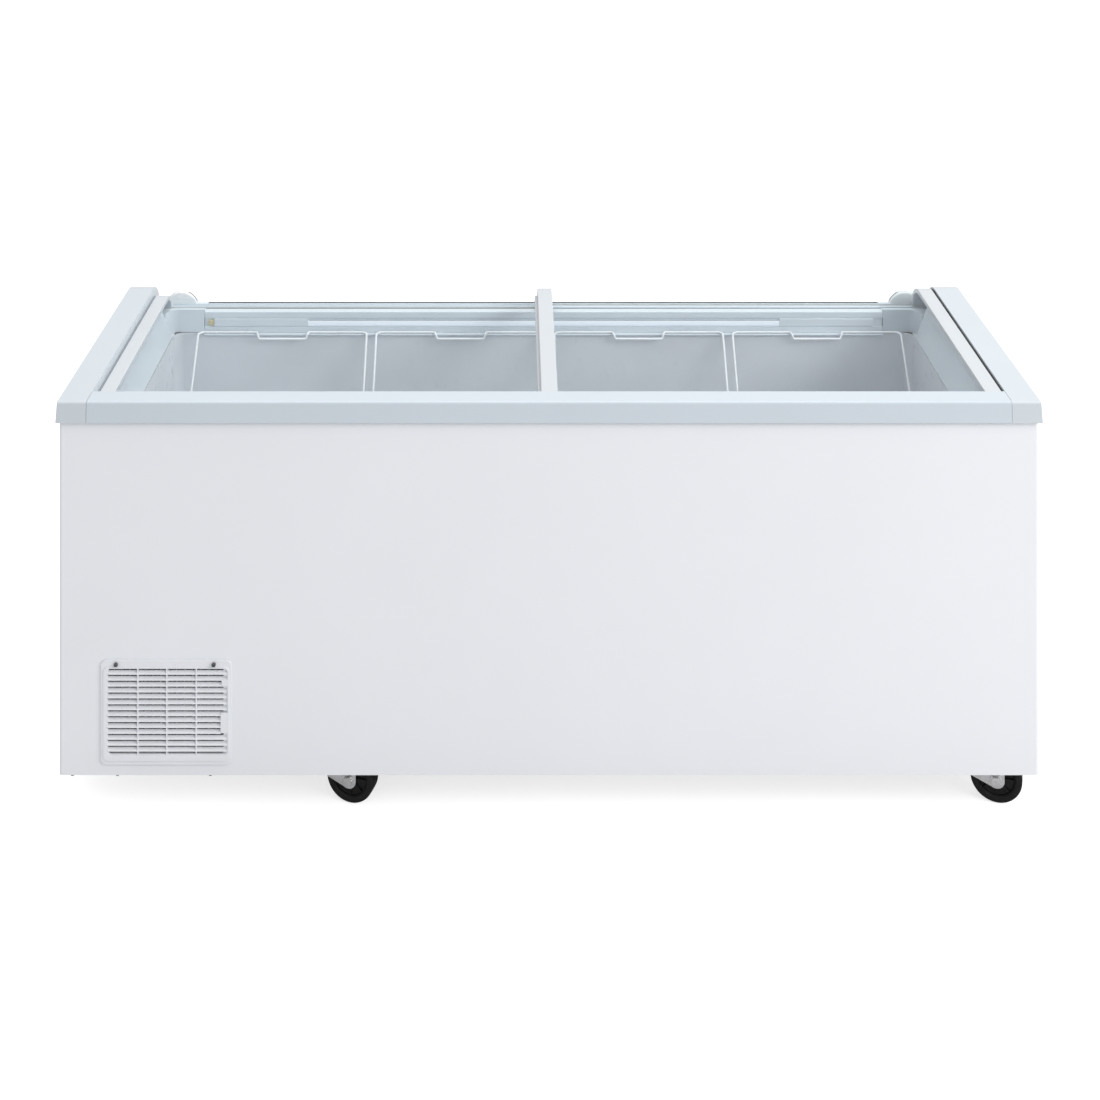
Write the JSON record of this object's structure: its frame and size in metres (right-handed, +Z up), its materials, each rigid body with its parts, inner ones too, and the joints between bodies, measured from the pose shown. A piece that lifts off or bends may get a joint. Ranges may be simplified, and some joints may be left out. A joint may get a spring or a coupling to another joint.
{
  "type": "chest freezer",
  "caption": "Low display chest freezer with two sliding glass lids that curve down at the rear, grey top frame, hanging wire baskets, louvred machine grille and swivel castors.",
  "frame": {"origin": "on the floor, midway between the two end caps of the top frame and midway between the front and rear faces of the steel wrap", "axes": "+X to the right as a customer faces the front, +Y to the rear, +Z up"},
  "size_m": [1.858, 0.6444, 0.79],
  "materials": {
    "basket_wire": "white plastic coated wire",
    "black_metal": "black enamel",
    "cable_black": "cable jacket",
    "cap_grey": "light grey moulding",
    "castor_tread": "black wheel",
    "castor_zinc": "bright zinc plate",
    "connector": "ivory connector",
    "copper": "drawn copper",
    "dark_plastic": "dark moulding",
    "fin_aluminium": "thin fins",
    "foam": "rigid polyurethane foam",
    "frame_grey": "light blue-grey moulding",
    "galvanised": "galvanised sheet",
    "hood_white": "white moulding",
    "lamp_board": "lamp board",
    "lamp_lens": "frosted lens",
    "lid_frame": "white extrusion",
    "lid_glass": "clear tempered",
    "liner_metal": "embossed coated aluminium",
    "seal_black": "soft black seal",
    "tube_metal": "drawn tube",
    "white_plastic": "white moulding",
    "white_steel": "smooth white powder coat",
    "zinc_steel": "bright zinc plate"
  },
  "bodies": {
    "cabinet": {"outer_shell": "white_steel", "base_panel": "galvanised", "foam_insulation": "foam", "inner_liner": "liner_metal", "evaporator_tube": "tube_metal", "compartment_panel": "galvanised", "front_rim": "frame_grey", "front_breaker": "frame_grey", "end_cap_left": "cap_grey", "end_cap_right": "cap_grey", "rear_rail": "frame_grey", "corner_block_left": "frame_grey", "corner_block_right": "frame_grey", "corner_hoods": "hood_white", "side_trim_left": "frame_grey", "side_trim_right": "frame_grey", "lid_seals": "seal_black", "lamp_diffuser": "lamp_lens", "lamp_board": "lamp_board", "lamp_end_covers": "frame_grey", "lamp_connector": "connector", "compressor_tray": "galvanised", "compressor": "black_metal", "compressor_grommets": "seal_black", "condenser_fins": "fin_aluminium", "condenser_tube": "black_metal", "fan_shroud": "dark_plastic", "fan_motor": "dark_plastic", "start_relay": "dark_plastic", "filter_drier": "copper", "refrigerant_pipes": "copper", "front_grille": "white_plastic", "rear_vent": "dark_plastic", "thermostat_body": "white_plastic", "power_cord": "cable_black", "drain_tube": "white_plastic", "screws": "zinc_steel", "castor_beams": "black_metal", "castor_plates": "castor_zinc"},
    "upper_lid": {"upper_lid_glass": "lid_glass", "upper_lid_strips": "lid_frame", "upper_lid_runners": "lid_frame"},
    "lower_lid": {"lower_lid_glass": "lid_glass", "lower_lid_strips": "lid_frame", "lower_lid_runners": "lid_frame"},
    "fan": {"fan_blade": "dark_plastic"},
    "knob": {"thermostat_knob": "white_plastic"},
    "plug": {"drain_plug": "seal_black"},
    "basket_1_body": {"basket_1": "basket_wire"},
    "basket_2_body": {"basket_2": "basket_wire"},
    "basket_3_body": {"basket_3": "basket_wire"},
    "basket_4_body": {"basket_4": "basket_wire"},
    "fork_fl": {"castor_fork_fl": "castor_zinc"},
    "wheel_fl": {"castor_wheel_fl": "castor_tread"},
    "fork_fr": {"castor_fork_fr": "castor_zinc"},
    "wheel_fr": {"castor_wheel_fr": "castor_tread"},
    "fork_rl": {"castor_fork_rl": "castor_zinc"},
    "wheel_rl": {"castor_wheel_rl": "castor_tread"},
    "fork_rr": {"castor_fork_rr": "castor_zinc"},
    "wheel_rr": {"castor_wheel_rr": "castor_tread"}
  },
  "joints": [
    {"name": "upper_lid_slide", "type": "slide", "parent": "cabinet", "child": "upper_lid", "axis": [1, 0, 0], "range_m": [-0.85, 0]},
    {"name": "lower_lid_slide", "type": "slide", "parent": "cabinet", "child": "lower_lid", "axis": [1, 0, 0], "range_m": [0, 0.85]},
    {"name": "fan_spin", "type": "hinge", "parent": "cabinet", "child": "fan", "pos_m": [-0.73, -0.212, 0.2], "axis": [0, 1, 0], "continuous": true},
    {"name": "knob_turn", "type": "hinge", "parent": "cabinet", "child": "knob", "pos_m": [-0.65, 0.316, 0.33], "axis": [0, -1, 0], "range_deg": [0, 270]},
    {"name": "drain_plug_pull", "type": "slide", "parent": "cabinet", "child": "plug", "axis": [0, 0, 1], "range_m": [0, 0.03]},
    {"name": "basket_1_lift", "type": "slide", "parent": "cabinet", "child": "basket_1_body", "axis": [0, 0, 1], "range_m": [0, 0.055]},
    {"name": "basket_2_lift", "type": "slide", "parent": "cabinet", "child": "basket_2_body", "axis": [0, 0, 1], "range_m": [0, 0.055]},
    {"name": "basket_3_lift", "type": "slide", "parent": "cabinet", "child": "basket_3_body", "axis": [0, 0, 1], "range_m": [0, 0.055]},
    {"name": "basket_4_lift", "type": "slide", "parent": "cabinet", "child": "basket_4_body", "axis": [0, 0, 1], "range_m": [0, 0.055]},
    {"name": "castor_swivel_fl", "type": "hinge", "parent": "cabinet", "child": "fork_fl", "pos_m": [-0.3992, -0.247, 0.11], "axis": [0, 0, 1], "continuous": true},
    {"name": "castor_roll_fl", "type": "hinge", "parent": "fork_fl", "child": "wheel_fl", "pos_m": [-0.37542, -0.25472, 0.048], "axis": [0.309, 0.9511, 0], "continuous": true},
    {"name": "castor_swivel_fr", "type": "hinge", "parent": "cabinet", "child": "fork_fr", "pos_m": [0.8362, -0.247, 0.11], "axis": [0, 0, 1], "continuous": true},
    {"name": "castor_roll_fr", "type": "hinge", "parent": "fork_fr", "child": "wheel_fr", "pos_m": [0.85998, -0.25472, 0.048], "axis": [0.309, 0.9511, 0], "continuous": true},
    {"name": "castor_swivel_rl", "type": "hinge", "parent": "cabinet", "child": "fork_rl", "pos_m": [-0.3992, 0.247, 0.11], "axis": [0, 0, 1], "continuous": true},
    {"name": "castor_roll_rl", "type": "hinge", "parent": "fork_rl", "child": "wheel_rl", "pos_m": [-0.37542, 0.25472, 0.048], "axis": [-0.309, 0.9511, 0], "continuous": true},
    {"name": "castor_swivel_rr", "type": "hinge", "parent": "cabinet", "child": "fork_rr", "pos_m": [0.8362, 0.247, 0.11], "axis": [0, 0, 1], "continuous": true},
    {"name": "castor_roll_rr", "type": "hinge", "parent": "fork_rr", "child": "wheel_rr", "pos_m": [0.85998, 0.25472, 0.048], "axis": [-0.309, 0.9511, 0], "continuous": true}
  ]
}
